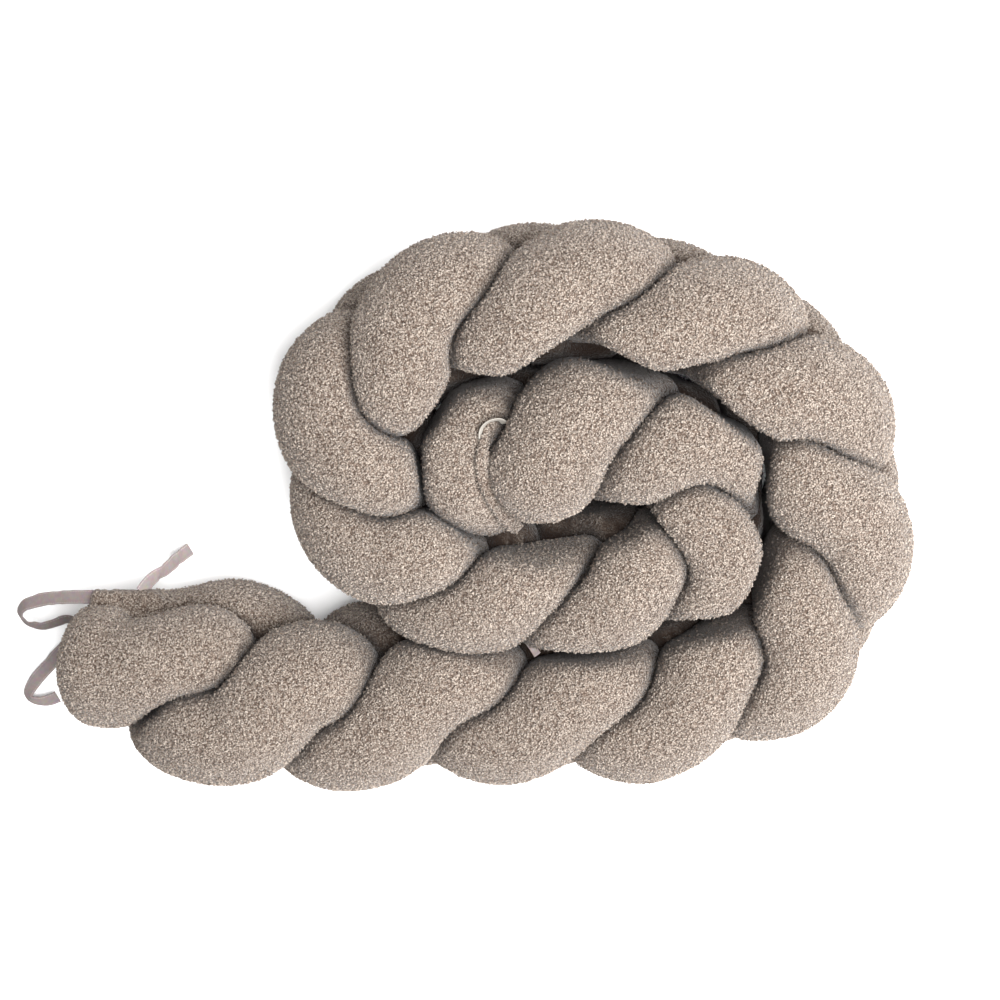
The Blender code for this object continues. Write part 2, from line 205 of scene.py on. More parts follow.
# How far along the lobes each tube keeps to the plait, and where its two ends run from there:
# x, y, z: the tube's middle, mm; girth: share of the full tube
Span = namedtuple("Span", "first last")
SPANS = (Span(0.95, 19.0), Span(1.6, 18.4), Span(2.35, 18.2))
End = namedtuple("End", "tube x y z girth")
TAIL_ENDS = (
    End(0, -328, -148, 91, 1.30),
    End(0, -354, -149, 80, 1.43),
    End(0, -389, -149, 70, 1.33),
    End(1, -312, -188, 36, 1.02),
    End(1, -338, -168, 31, 0.82),
    End(1, -364, -156, 27, 0.60),
    End(2, -212, -144, 46, 1.00),
    End(2, -234, -129, 46, 1.00),
    End(2, -264, -127, 47, 0.92),
    End(2, -300, -127, 56, 0.74),
    End(2, -326, -119, 63, 0.66),
    End(2, -348, -116, 65, 0.50),
)
INNER_ENDS = (
    End(0, -36, 30, 96, 0.90),
    End(0, -11, 5, 94, 0.74),
    End(0, 13, -14, 91, 0.48),
    End(1, -20, 70, 36, 0.90),
    End(2, -10, 60, 50, 0.90),
)


def unit(vectors):
    """The same directions, each of length 1."""
    return vectors / np.linalg.norm(vectors, axis=-1, keepdims=True)


def spline(knots, values, at):
    """A natural cubic spline through values at knots, read at the places in at."""
    knots, values, at = (np.asarray(part, float) for part in (knots, values, at))
    step = np.diff(knots)
    count = len(knots)
    system = np.eye(count)
    right = np.zeros_like(values)
    slope = np.diff(values, axis=0) / step[:, None]
    for i in range(1, count - 1):
        system[i, i - 1 : i + 2] = step[i - 1], 2 * (step[i - 1] + step[i]), step[i]
        right[i] = 6 * (slope[i] - slope[i - 1])
    bend = np.linalg.solve(system, right)
    i = np.clip(np.searchsorted(knots, at, side="right") - 1, 0, count - 2)
    h = step[i][:, None]
    before = (knots[i + 1] - at)[:, None]
    after = (at - knots[i])[:, None]
    curved = (bend[i] * before**3 + bend[i + 1] * after**3) / (6 * h)
    first = (values[i] / h - bend[i] * h / 6) * before
    second = (values[i + 1] / h - bend[i + 1] * h / 6) * after
    return curved + first + second


def lengths(rows):
    """The length along a line of rows x, y, z, ... at each of its rows."""
    return np.append(0, np.cumsum(np.linalg.norm(np.diff(rows[:, :3], axis=0), axis=1)))


def read(rows, places):
    """The rows of a line at the lengths in places."""
    length = lengths(rows)
    return np.column_stack([np.interp(places, length, column) for column in rows.T])


def even(rows, pitch):
    """The smooth curve through rows x, y, z, ..., read about every pitch."""
    chord = lengths(rows)
    dense = spline(chord, rows, np.linspace(0, chord[-1], DENSE * len(rows)))
    length = lengths(dense)[-1]
    return read(dense, np.linspace(0, length, int(round(length / pitch)) + 1))


def in_metres(rows):
    """Table rows x, y, z in mm and more columns, in metres and centred over the origin."""
    values = np.array(rows, float)
    values[:, :3] = values[:, :3] * MM - MIDDLE
    return values


def plait(tube, u):
    """One tube's middle line at the lobe numbers in u, as rows x, y, z, girth, u, apart, hollow.

    Across the braid it runs a figure of eight, up and down once and sideways twice."""
    numbers = np.arange(1, len(LOBES) + 1)
    rows = np.array(LOBES, float)
    x, y, inner, outer, girth, lean, apart, hollow = spline(numbers, rows, u).T
    girth = np.interp(u, numbers[tube::3], rows[tube::3, LOBES[0]._fields.index("girth")])
    ahead = spline(numbers, rows, u + NUDGE) - spline(numbers, rows, u - NUDGE)
    tangent = unit(np.column_stack([ahead[:, 0], ahead[:, 1], np.zeros(len(u))]))
    inward = np.cross(UP, tangent)
    lean = np.radians(lean)[:, None]
    edge = np.cos(lean) * UP + np.sin(lean) * inward
    side = np.cos(lean) * inward - np.sin(lean) * UP
    phase = 2 * math.pi / 3 * (u - 1 - tube)
    along_edge = BRAID_HALF_HEIGHT * girth * np.cos(phase)
    swing = np.sin(2 * phase)
    along_side = BRAID_HALF_WIDTH * swing * np.where(swing > 0, inner, outer)
    middle = np.column_stack([x * MM, y * MM, SEAT + BRAID_HALF_HEIGHT * girth]) - MIDDLE
    points = middle + along_edge[:, None] * edge + along_side[:, None] * side
    return np.column_stack([points, girth, u, apart * MM, hollow * MM])


def middle_line(tube, pitch):
    """A tube's middle line from end to end, as rows of x, y, z, girth, u, apart, hollow."""
    woven = plait(tube, np.arange(SPANS[tube].first, SPANS[tube].last + NUDGE, PLAIT_STEP))
    tail = in_metres([(*end[1:], 0, 0, 0) for end in TAIL_ENDS if end.tube == tube])
    inner = in_metres([(*end[1:], len(LOBES) + 1, 0, 0) for end in INNER_ENDS if end.tube == tube])
    return even(np.concatenate([tail[::-1], woven, inner]), pitch)


def rounded_ends(line):
    """Rows at the rings' places and their shares of the full section, with round ends."""
    length = lengths(line)[-1]
    turns = np.radians(END_TURNS)
    cap = END_LENGTH * (1 - np.cos(turns))
    count = int((length - 2 * END_LENGTH) / RING_PITCH)
    body = np.linspace(END_LENGTH, length - END_LENGTH, count)
    places = np.concatenate([cap[:-1], body, length - cap[-2::-1]])
    shares = np.concatenate([np.sin(turns[:-1]), np.ones(count), np.sin(turns[-2::-1])])
    return read(line, places), shares


def ring_ways(centres):
    """The directions across a tube in which each ring's points lie."""
    tangent = unit(np.gradient(centres, axis=0))
    high = unit(UP - (tangent @ UP)[:, None] * tangent)
    across = np.cross(tangent, high)
    turns = 2 * math.pi * np.arange(RING_SIDES) / RING_SIDES
    return np.cos(turns)[:, None] * high[:, None] + np.sin(turns)[:, None] * across[:, None]


def reach(centre, radius, ways, others, other_radii, gaps):
    """How far a ring may reach each way before it is halfway to a neighbour."""
    across = others - centre
    distance = np.linalg.norm(across, axis=1)
    near = distance < FAR * radius
    across, distance = across[near], distance[near]
    halfway = (distance**2 + radius**2 - other_radii[near] ** 2) / (2 * distance) - gaps[near]
    facing = ways @ (across / distance[:, None]).T
    limits = np.where(facing > FACING, halfway / np.maximum(facing, FACING), np.inf)
    return np.maximum(limits.min(axis=1, initial=FAR * radius), THINNEST)


def section(free, limits, floor_limits):
    """Radii of a ring: the free round, flattened against neighbours and the floor."""
    pressed = (free**-ROUNDING + limits**-ROUNDING) ** (-1 / ROUNDING)
    return np.minimum(pressed, floor_limits)


def swollen(radius, limits, floor_limits):
    """The free radius at which a pressed section keeps the area of the stuffed tube."""
    free = radius
    for _ in range(SWELL_ROUNDS):
        area = (section(free, limits, floor_limits) ** 2).mean()
        free = min(free * radius / math.sqrt(area), SWELL_LIMIT * radius)
    return free


def lumps(points):
    """How far the stuffing pushes the cloth out or lets it sink, at each point."""
    return np.array([noise.fractal(Vector(p) / LUMP_SIZE, *LUMP_LAYERS) for p in points]) * LUMP_DEPTH


def eased(radii):
    """Radii whose sharp corners are eased, around the tube and along it."""
    around = (np.roll(radii, 1, axis=1) + 2 * radii + np.roll(radii, -1, axis=1)) / 4
    body = (around[:-2] + 2 * around[1:-1] + around[2:]) / 4
    return np.concatenate([around[:1], body, around[-1:]])


def tube_form(tube, lines):
    """Ring centres, ways and radii of one tube among the middle lines of all."""
    radius = TUBE_DIAMETER / 2
    rows, shares = rounded_ends(lines[tube])
    centres, girths = rows[:, :3], rows[:, 3]
    ways = ring_ways(centres)
    everything = np.concatenate(lines)
    others, other_radii = everything[:, :3], everything[:, 3] * radius
    same = np.concatenate([np.full(len(line), number == tube) for number, line in enumerate(lines)])
    limits, floors, frees = [], [], []
    for centre, girth, way, (u, apart, hollow) in zip(centres, girths, ways, rows[:, 4:]):
        away = ~same | (np.linalg.norm(others - centre, axis=1) > OWN * radius)
        weights = np.where(same, girth * radius, other_radii)
        along = np.abs(everything[:, 4] - u)
        kept = np.where(along > NEXT_TURN, apart, np.where(along > ACROSS, hollow, 0))
        gaps = GAP / 2 + kept * np.clip((centre[2] - APART_LOW) / (APART_HIGH - APART_LOW), 0, 1)
        limits.append(reach(centre, girth * radius, way, others[away], weights[away], gaps[away]))
        floors.append(np.where(way[:, 2] < 0, centre[2] / np.maximum(-way[:, 2], TINY), np.inf))
        frees.append(swollen(girth * radius, limits[-1], floors[-1]))
    window = np.hanning(2 * SWELL_SPAN + 3)[1:-1] / (SWELL_SPAN + 1)
    smooth = np.convolve(np.pad(frees, SWELL_SPAN, mode="edge"), window, mode="valid")
    rings = []
    for free, limit, level, centre, way in zip(smooth * shares, limits, floors, centres, ways):
        uneven = lumps(centre + free * way) * min(1, free / radius)
        rings.append(section(free + uneven, limit, level))
    radii = np.minimum(eased(np.array(rings)), np.minimum(limits, floors))
    return centres, ways, radii, lines[tube][[0, -1], :3]


def loft_faces(count, sides):
    """Faces over rings of points; the first and last points are the tips that close it."""
    faces = []
    end = 1 + count * sides
    for side in range(sides):
        after = (side + 1) % sides
        faces.append((0, 1 + after, 1 + side))
        for low in range(1, end - sides, sides):
            faces.append((low + side, low + after, low + sides + after, low + sides + side))
        faces.append((end - sides + side, end - sides + after, end))
    return faces


def add_piece(name, points, faces, finish, node=None):
    """A smooth mesh piece that rides on the bumper, and stands for a node where one is given."""
    mesh = bpy.data.meshes.new(name)
    mesh.from_pydata([tuple(point) for point in points], [], faces)
    mesh.shade_smooth()
    mesh.materials.append(finish)
    obj = bpy.data.objects.new(name, mesh)
    bpy.context.scene.collection.objects.link(obj)
    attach(obj, "root")
    if node:
        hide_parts(node)
    return obj


# Curly bouclé cloth: loops of a light oat and a dark cocoa yarn, about 1.4 mm across, so that it
# looks like fine salt and pepper; painted shade darkens the pits between the loops, and it has no gloss.
# Where the cloth is pressed shut between two turns it lies in the dark: painted shade darkens it there
# towards a dark brown.
OAT, COCOA, PIT_SHADE, CREASE_SHADE = "#9b9085", "#63554b", "#382d26", "#251b15"
LOOP_ACROSS = 0.0014
LOOP_WANDER = 0.0018  # how far the loops stray from even rows
ALL_COCOA, ALL_OAT = 0.1, 0.85  # random draws under which a loop is cocoa and over which it is oat
LOOP_TOP, LOOP_PIT = 0.2, 0.75  # from its middle, in loops, between which painted shade darkens it to a pit
LOOP_RELIEF = 0.0012
# Painted shade: at the first openness the cloth takes the full crease shade, from the second on its own
# yarn colours
PRESSED, OPEN = 0.15, 0.72  # openness of cloth that is pressed shut and of cloth that lies free


def painted_crease_shade(tree, colour):
    """A colour of the cloth with painted shade: it darkens where the piece's attribute open says it is
    shut.
    """
    opened = add(tree, "ShaderNodeAttribute", {"attribute_name": "open"})
    free = add(tree, "ShaderNodeMapRange", None,
               {"Value": opened.outputs["Fac"], "From Min": PRESSED, "From Max": OPEN})
    mixed = add(tree, "ShaderNodeMix", {"data_type": "RGBA"},
                {0: free.outputs[0], 6: linear(CREASE_SHADE), 7: colour})
    return mixed.outputs[2]


boucle, tree, shader = shaded("boucle_cloth", roughness=1.0, specular=0.1, sheen=0.15)
place = add(tree, "ShaderNodeTexCoord").outputs["Object"]
wander = add(tree, "ShaderNodeTexNoise", None, {"Vector": place, "Scale": 0.5 / LOOP_ACROSS, "Detail": 2})
bend = add(tree, "ShaderNodeVectorMath", {"operation": "MULTIPLY_ADD"},
           {0: wander.outputs["Color"], 1: (LOOP_WANDER,) * 3, 2: place})
loops = add(tree, "ShaderNodeTexVoronoi", None,
            {"Vector": bend.outputs[0], "Scale": 1 / LOOP_ACROSS, "Randomness": 1})
pick = add(tree, "ShaderNodeSeparateColor", None, {"Color": loops.outputs["Color"]})
yarn = add(tree, "ShaderNodeValToRGB", None, {"Fac": pick.outputs[0]})
yarn.color_ramp.elements[0].color = linear(COCOA)
yarn.color_ramp.elements[0].position = ALL_COCOA
yarn.color_ramp.elements[1].color = linear(OAT)
yarn.color_ramp.elements[1].position = ALL_OAT
# Painted shade: each loop's colour darkens towards the pits between the loops
depth = add(tree, "ShaderNodeMapRange", None,
            {"Value": loops.outputs["Distance"], "From Min": LOOP_TOP, "From Max": LOOP_PIT})
cloth = add(tree, "ShaderNodeMix", {"data_type": "RGBA"},
            {0: depth.outputs[0], 6: yarn.outputs[0], 7: linear(PIT_SHADE)})
raised = add(tree, "ShaderNodeBump", {"invert": True},
             {"Height": loops.outputs["Distance"], "Strength": 0.9, "Distance": LOOP_RELIEF})
# The cloth's colour carries the painted shade of its creases
tree.links.new(painted_crease_shade(tree, cloth.outputs[2]), shader.inputs["Base Color"])
tree.links.new(raised.outputs[0], shader.inputs["Normal"])

lines = [middle_line(tube, RING_PITCH / FINE) for tube in range(3)]
strands = []
skin_points, skin_faces = [], []
for tube in range(3):
    centres, ways, radii, tips = tube_form(tube, lines)
    rings = centres[:, None] + radii[:, :, None] * ways
    points = np.concatenate([tips[:1], rings.reshape(-1, 3), tips[1:]])
    faces = loft_faces(*radii.shape)
    strand = add_piece(f"stuffed_tube_{tube + 1}", points, faces, boucle, f"strand_{tube + 1}")
    skin_faces += [tuple(len(skin_points) + i for i in face) for face in faces]
    skin_points += points.tolist()
    strands.append(strand)
skin = BVHTree.FromPolygons(skin_points, skin_faces)

# ---- The curls of the cloth -----------------------------------------------------------------
# Bouclé yarn stands off the cloth in small curls, each made here as a short bent piece of yarn.
# They stand where the cloth is open to the air, and are left out where it is pressed shut.
CURL_LENGTH = 0.0030
CURL_THICKNESS = 0.0015
CURL_RISE = 0.0009  # of a curl's middle off the cloth
CURL_STEPS, CURL_POINTS, CURL_SIDES = 4, 3, 3
CURL_TIP = 0.001  # thickness of its ends, as a share
CURL_JOINED = 0.00001  # points closer than this become one, which closes its ends
CURL_LEAN = 0.6  # radians, the most that a curl leans each way
FULL_TURN = 6.283  # radians
CURL_SMALL, CURL_LARGE = 0.7, 1.25  # least and largest curl, as shares of the sizes above
CURLS_PER_M2 = 176000
NO_CURLS, ALL_CURLS = 0.15, 0.6  # openness of the cloth up to which none grow, and from which all do
FEW_CURLS = 0.2  # share of them that grows on cloth that faces down
FACE_TURN = 0.3  # how far a face's normal falls or rises while that share grows to the whole
TONE_SEED = 7
OPEN_RAYS = 20
OPEN_REACH = 0.06
OPEN_START = 0.0015  # of the rays' start off the cloth
OPEN_FAN = 0.9  # share of the half round over the cloth that the rays fill
FLOOR_CLEAR = 0.004  # height under which no curl grows and the painted shade is full, because the cloth lies on the floor

# The yarn of the curls: the same two yarns, one shade to a curl, with a twist of 0.4 mm
YARN_TWIST = 0.0004

curl_yarn, tree, shader = shaded("boucle_yarn", roughness=1.0, specular=0.1, sheen=0.15)
tint = add(tree, "ShaderNodeAttribute", {"attribute_name": "tint"})
place = add(tree, "ShaderNodeTexCoord").outputs["Object"]
shade = add(tree, "ShaderNodeValToRGB", None, {"Fac": tint.outputs["Fac"]})
shade.color_ramp.elements[0].color = linear(COCOA)
shade.color_ramp.elements[1].color = linear(OAT)
twist = add(tree, "ShaderNodeTexNoise", None, {"Vector": place, "Scale": 1 / YARN_TWIST, "Detail": 1})
fuzz = add(tree, "ShaderNodeBump", None, {"Height": twist.outputs[0], "Strength": 0.6, "Distance": 0.0003})
# The curls carry the same painted shade where the cloth is shut
tree.links.new(painted_crease_shade(tree, shade.outputs[0]), shader.inputs["Base Color"])
tree.links.new(fuzz.outputs[0], shader.inputs["Normal"])


def openness(obj, least=0.0):
    """Stores how open to the air each point of a piece is, from least to 1."""
    mesh = obj.data
    golden = math.pi * (3 - math.sqrt(5))
    fan = []
    for i in range(OPEN_RAYS):
        height = 1 - (i + 0.5) / OPEN_RAYS * OPEN_FAN
        side = math.sqrt(1 - height * height)
        fan.append(Vector((side * math.cos(golden * i), side * math.sin(golden * i), height)))
    values = []
    for vertex in mesh.vertices:
        start = vertex.co + vertex.normal * OPEN_START
        turn = vertex.normal.to_track_quat("Z", "Y")
        clear = sum(skin.ray_cast(start, turn @ way, OPEN_REACH)[0] is None for way in fan)
        values.append(max(least, clear / OPEN_RAYS) if vertex.co.z > FLOOR_CLEAR else 0)
    attribute = mesh.attributes.new("open", "FLOAT", "POINT")
    attribute.data.foreach_set("value", np.array(values, np.float32))


def curl_tree():
    """Node tree that covers a mesh with curls, as many as its attribute open allows."""
    times, floats = {"operation": "MULTIPLY"}, {"data_type": "FLOAT"}
    tree = bpy.data.node_groups.new("curls", "GeometryNodeTree")
    face = tree.interface
    face.new_socket("Geometry", in_out="INPUT", socket_type="NodeSocketGeometry")
    for name in ("Curls per m2", "Length", "Thickness", "Rise"):
        face.new_socket(name, in_out="INPUT", socket_type="NodeSocketFloat")
    face.new_socket("Seed", in_out="INPUT", socket_type="NodeSocketInt")
    face.new_socket("Geometry", in_out="OUTPUT", socket_type="NodeSocketGeometry")
    given = tree.nodes.new("NodeGroupInput").outputs
    # How many grow on each bit of cloth, and where
    opened = add(tree, "GeometryNodeInputNamedAttribute", floats, {"Name": "open"})
    grown = add(tree, "ShaderNodeMapRange", None,
                {"Value": opened.outputs[0], "From Min": NO_CURLS, "From Max": ALL_CURLS})
    normal = add(tree, "GeometryNodeInputNormal")
    height = add(tree, "ShaderNodeSeparateXYZ", None, {0: normal.outputs[0]})
    upward = add(tree, "ShaderNodeMapRange", None,
                 {"Value": height.outputs[2], "From Min": -FACE_TURN, "From Max": FACE_TURN,
                  "To Min": FEW_CURLS, "To Max": 1.0})
    share = add(tree, "ShaderNodeMath", times, {0: grown.outputs[0], 1: upward.outputs[0]})
    dense = add(tree, "ShaderNodeMath", times, {0: share.outputs[0], 1: given["Curls per m2"]})
    spots = add(tree, "GeometryNodeDistributePointsOnFaces", None,
                {"Mesh": given["Geometry"], "Density": dense.outputs[0], "Seed": given["Seed"]})
    # One curl: a bow of yarn with pointed ends
    half = add(tree, "ShaderNodeMath", times, {0: given["Length"], 1: 0.5})
    back = add(tree, "ShaderNodeMath", times, {0: half.outputs[0], 1: -1.0})
    start = add(tree, "ShaderNodeCombineXYZ", None, {"X": back.outputs[0]})
    lift = add(tree, "ShaderNodeMath", times, {0: given["Rise"], 1: 2.0})
    bow = add(tree, "ShaderNodeCombineXYZ", None, {"Y": half.outputs[0], "Z": lift.outputs[0]})
    end = add(tree, "ShaderNodeCombineXYZ", None, {"X": half.outputs[0]})
    arc = add(tree, "GeometryNodeCurveQuadraticBezier", None,
              {"Resolution": CURL_STEPS, "Start": start.outputs[0], "Middle": bow.outputs[0],
               "End": end.outputs[0]})
    yarn = add(tree, "GeometryNodeResampleCurve", {"mode": "COUNT"},
               {"Curve": arc.outputs[0], "Count": CURL_POINTS})
    tips = add(tree, "GeometryNodeCurveEndpointSelection", None, {"Start Size": 1, "End Size": 1})
    pointed = add(tree, "ShaderNodeMath", {"operation": "MULTIPLY_ADD"},
                  {0: tips.outputs[0], 1: CURL_TIP - 1, 2: 1.0})
    thin = add(tree, "ShaderNodeMath", times, {0: given["Thickness"], 1: 0.5})
    ring = add(tree, "GeometryNodeCurvePrimitiveCircle", None,
               {"Resolution": CURL_SIDES, "Radius": thin.outputs[0]})
    tube = add(tree, "GeometryNodeCurveToMesh", None,
               {"Curve": yarn.outputs[0], "Profile Curve": ring.outputs["Curve"],
                "Scale": pointed.outputs[0]})
    curl = add(tree, "GeometryNodeMergeByDistance", None,
               {"Geometry": tube.outputs[0], "Distance": CURL_JOINED})
    # How each of them lies, its size and its shade
    lean = add(tree, "FunctionNodeRandomValue", {"data_type": "FLOAT_VECTOR"},
               {0: (-CURL_LEAN, -CURL_LEAN, 0), 1: (CURL_LEAN, CURL_LEAN, FULL_TURN),
                "Seed": given["Seed"]})
    turned = add(tree, "FunctionNodeEulerToRotation", None, {0: lean.outputs[0]})
    rotation = add(tree, "FunctionNodeRotateRotation", {"rotation_space": "LOCAL"},
                   {0: spots.outputs["Rotation"], 1: turned.outputs[0]})
    size = add(tree, "FunctionNodeRandomValue", floats,
               {2: CURL_SMALL, 3: CURL_LARGE, "Seed": given["Seed"]})
    pile = add(tree, "GeometryNodeInstanceOnPoints", None,
               {"Points": spots.outputs["Points"], "Instance": curl.outputs[0],
                "Rotation": rotation.outputs[0], "Scale": size.outputs[1]})
    tone = add(tree, "FunctionNodeRandomValue", floats, {2: 0.0, 3: 1.0, "Seed": TONE_SEED})
    toned = add(tree, "GeometryNodeStoreNamedAttribute", {**floats, "domain": "INSTANCE"},
                {"Geometry": pile.outputs[0], "Name": "tint", "Value": tone.outputs[1]})
    real = add(tree, "GeometryNodeRealizeInstances", None, {0: toned.outputs[0]})
    soft = add(tree, "GeometryNodeSetShadeSmooth", None, {0: real.outputs[0]})
    finish = add(tree, "GeometryNodeSetMaterial", None,
                 {"Geometry": soft.outputs[0], "Material": curl_yarn})
    result = tree.nodes.new("NodeGroupOutput")
    tree.links.new(finish.outputs[0], result.inputs[0])
    return tree


def add_curls(name, base, per_m2, seed):
    """The curls that grow on a piece of cloth, as a piece of their own."""
    sizes = {"Curls per m2": per_m2, "Length": CURL_LENGTH, "Thickness": CURL_THICKNESS,
             "Rise": CURL_RISE, "Seed": seed}
    maker = base.modifiers.new(name, "NODES")
    maker.node_group = curls
    for item in curls.interface.items_tree:
        if item.in_out == "INPUT" and item.name in sizes:
            maker[item.identifier] = sizes[item.name]
    view = base.evaluated_get(bpy.context.evaluated_depsgraph_get())
    mesh = bpy.data.meshes.new_from_object(view)
    mesh.name = name
    base.modifiers.remove(maker)
    obj = bpy.data.objects.new(name, mesh)
    bpy.context.scene.collection.objects.link(obj)
    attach(obj, "root")


# Each tube's curls are two pieces, which share them by halves
curls = curl_tree()
for number, strand in enumerate(strands, start=1):
    openness(strand)
    for part in (1, 2):
        add_curls(f"curls_{number}_{part}", strand, CURLS_PER_M2 / 2, 10 * number + part)

# ---- The end seam at the tail ---------------------------------------------------------------
# The three tube ends are sewn shut together in one flat seam across the tail. Its band is the
# same bouclé, gathered by the stitches into small puckers. Inwards it thickens to a wedge that is
# sunk in the tubes' ends, where their cloth is drawn into the stitches.
SEAM_LEFT, SEAM_RIGHT = -0.374, -0.286  # x of its ends, before the shift by MIDDLE
SEAM_EDGE = -0.0835  # y of its outer edge, the same
SEAM_HEIGHT = 0.070
SEAM_THICKNESS = 0.011  # at its outer edge
SEAM_SPREAD = 5.0  # its thickness where the tubes' cloth is drawn into it, as a share of that
SEAM_SUNK = 0.026  # of its inner edge under the tubes' skin
SEAM_END = 0.012  # length over which it dies away to the left
SEAM_FADE = 0.026  # the same, to the right
SEAM_LEAST, SEAM_THIN = 0.02, 0.35  # shares of its width and thickness that are left at its ends
SEAM_STATIONS, SEAM_SIDES = 90, 16
SEAM_FEEL = 0.004  # how far under its middle the tubes' skin is felt for
SEAM_EVEN = 4  # stations to each side over which its seat is evened out
SEAM_SQUARE = 0.5  # bend of its section's edges, from an ellipse at 1 towards a rectangle at 0
OUTSIDE = 0.2  # y of a place well clear of the tail
PUCKER_LENGTH, PUCKER_DEPTH = 0.0062, 0.0012
PUCKER_RUN = 0.012  # length of a fold across the seam
FOLD_LAYER = 3  # of the noise, well away from the puckers' own


def oval(angle, width, thickness, square):
    """A point of a flat section with round edges, at an angle."""
    across, through = math.cos(angle), math.sin(angle)
    return (math.copysign(abs(across) ** square, across) * width / 2,
            math.copysign(abs(through) ** square, through) * thickness / 2)


def seam_seat(x, z):
    """How far out the tubes' skin comes at a place in the end seam, or None beside the tubes."""
    hit = skin.ray_cast(Vector((x, OUTSIDE, z)), Vector((0, -1, 0)))[0]
    return hit.y if hit else None


places = np.linspace(SEAM_LEFT, SEAM_RIGHT, SEAM_STATIONS)
seats = [seam_seat(x - MIDDLE[0], SEAM_HEIGHT - SEAM_FEEL) for x in places]
known = [i for i, seat in enumerate(seats) if seat is not None]
seats = np.interp(range(SEAM_STATIONS), known, [seats[i] for i in known])
window = 2 * SEAM_EVEN + 1
seats = np.convolve(np.pad(seats, SEAM_EVEN, mode="edge"), np.full(window, 1 / window), mode="valid")
points = []
for x, seat in zip(places, seats):
    whole = min(1, (x - SEAM_LEFT) / SEAM_END, (SEAM_RIGHT - x) / SEAM_FADE)
    whole = math.sin(math.pi / 2 * max(whole, SEAM_LEAST))
    pucker = noise.noise(Vector((x / PUCKER_LENGTH, 0, 0))) * PUCKER_DEPTH
    inner = seat - SEAM_SUNK
    outer = inner + (SEAM_EDGE - MIDDLE[1] + pucker - inner) * whole
    thickness = SEAM_THICKNESS * (SEAM_THIN + (1 - SEAM_THIN) * whole)
    for side in range(SEAM_SIDES):
        y, z = oval(2 * math.pi * side / SEAM_SIDES, outer - inner, thickness, SEAM_SQUARE)
        z *= 1 + (SEAM_SPREAD - 1) * (0.5 - y / (outer - inner))
        fold = noise.noise(Vector((x / PUCKER_LENGTH, y / PUCKER_RUN, FOLD_LAYER))) * PUCKER_DEPTH
        points.append((x - MIDDLE[0], (inner + outer) / 2 + y, SEAM_HEIGHT + z + fold))
ends = [np.mean(points[:SEAM_SIDES], axis=0), np.mean(points[-SEAM_SIDES:], axis=0)]
tail_seam = add_piece("tail_seam_band", [ends[0], *points, ends[1]],
                      [face[::-1] for face in loft_faces(SEAM_STATIONS, SEAM_SIDES)], boucle, "tail_seam")

# ---- The end seam at the inner end ------------------------------------------------------------
# The inner tube ends are sewn shut in a narrow seam as well. It shows as a low ridge of the same
# bouclé that runs from the tape loop down to the tip of the braid.
Ridge = namedtuple("Ridge", "x y z width")  # its middle and width, mm
INNER_SEAM = (
    Ridge(-12, 80, 134, 5),
    Ridge(-14, 65, 137, 9),
    Ridge(-15, 52, 137, 12),
    Ridge(-13, 38, 136, 13),
    Ridge(-8, 24, 134, 14),
    Ridge(-1, 10, 129, 14),
    Ridge(7, -3, 121, 13),
    Ridge(15, -14, 110, 11),
)
RIDGE_THICKNESS = 0.007
RIDGE_ROLL = -14  # degrees from level
RIDGE_SWAY = 0.12  # how much its width varies, as a share
RIDGE_SQUARE = 0.8  # bend of its section's edges, as above
RIDGE_PITCH = 0.0012
RIDGE_SIDES = 14
SEAM_OPEN = 0.62  # how open the cloth of a seam lies at least


def ribbon_points(rows, widths, thickness, sides, square):
    """Points of a flat ribbon along rows x, y, z, roll, and how far across it each one lies."""
    tangent = unit(np.gradient(rows[:, :3], axis=0))
    level = unit(np.cross(UP, tangent))
    roll = np.radians(rows[:, 3])[:, None]
    wide = np.cos(roll) * level + np.sin(roll) * np.cross(tangent, level)
    thin = np.cross(tangent, wide)
    points, across = [], []
    for centre, w, t, width in zip(rows[:, :3], wide, thin, widths):
        for side in range(sides):
            a, b = oval(2 * math.pi * side / sides, width, thickness, square)
            points.append(centre + a * w + b * t)
            across.append(a)
    return np.array(points), np.array(across)


rows = even(in_metres(INNER_SEAM), RIDGE_PITCH)
widths = rows[:, 3] * MM
wave = np.array([noise.noise(Vector(row[:3]) / PUCKER_LENGTH) for row in rows])
rows[:, 2] += wave * PUCKER_DEPTH / 2
rows[:, 3] = RIDGE_ROLL
points, _ = ribbon_points(rows, widths * (1 + RIDGE_SWAY * wave), RIDGE_THICKNESS, RIDGE_SIDES,
                          RIDGE_SQUARE)
inner_seam = add_piece("inner_seam_ridge", [rows[0, :3], *points, rows[-1, :3]],
                       loft_faces(len(rows), RIDGE_SIDES), boucle)
for seam, seed in ((tail_seam, 71), (inner_seam, 72)):
    openness(seam, SEAM_OPEN)
    add_curls(seam.name + "_curls", seam, CURLS_PER_M2, seed)

# ---- The cotton ties --------------------------------------------------------------------------
# Ties of taupe cotton, folded double and stitched along both edges. Two are sewn in the tail
# seam, with free ends on the floor; a short bit of a third shows between two turns.
TIE_WIDTH = 0.0128
TIE_THICKNESS = 0.0015
INNER_TIE_WIDTH = 0.007
TIE_PITCH = 0.0011
TIE_SIDES = 18
TIE_SQUARE = 0.45  # bend of its section's edges, as above
CRUMPLE_SIZE, CRUMPLE_DEPTH = 0.011, 0.0007
CRUMPLE_SEED = 1795549138  # without it noise_vector starts from the clock, and each run differs
INNER_CRUMPLE = 0.0002  # depth of the crumples of the inner tie
CRUMPLE_TWIST = 9  # degrees, the most that a crumple turns a strip
CRUMPLE_FOLD = 0.10  # the most that it narrows one, as a share
CALM_ENDS = 1 / 4  # share of a strip at each end over which its crumples die away
STRIP_LIFT = 0.0006  # the least that a strip's underside hangs over the floor in its middle
STRIP_LOWEST = 0.0002  # the least height of any point of it
Route = namedtuple("Route", "x y z roll")  # the middle of a strip, mm, and its turn from level, degrees
